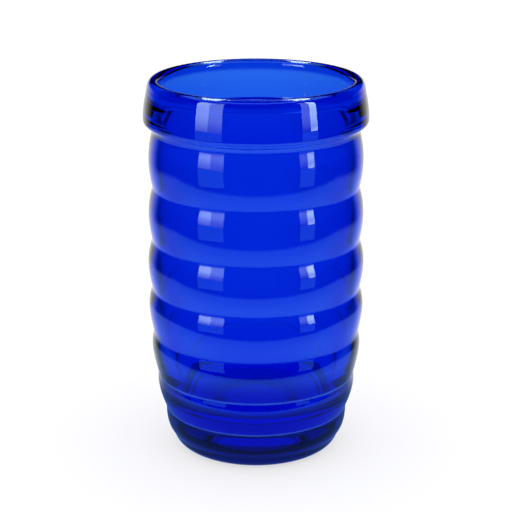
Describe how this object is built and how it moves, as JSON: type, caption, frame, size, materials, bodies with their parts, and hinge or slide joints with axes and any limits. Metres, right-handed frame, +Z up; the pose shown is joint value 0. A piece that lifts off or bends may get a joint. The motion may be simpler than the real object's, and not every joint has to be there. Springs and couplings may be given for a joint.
{
  "type": "drinking glass",
  "caption": "Tall cobalt-blue glass tumbler of stacked convex rings, with a thick collar round the mouth and a heavy base; holds a cold drink.",
  "frame": {"origin": "on the surface that the glass stands on, at the centre of its foot", "axes": "+Z up along the glass's axis, from the foot to the mouth; X and Y are any two directions across it"},
  "size_m": [0.0822, 0.0822, 0.14],
  "materials": {
    "cobalt_glass": "clear glass coloured cobalt blue all through, fire-polished"
  },
  "bodies": {
    "root": {"vessel": "cobalt_glass", "rim_collar": "cobalt_glass"}
  },
  "joints": []
}
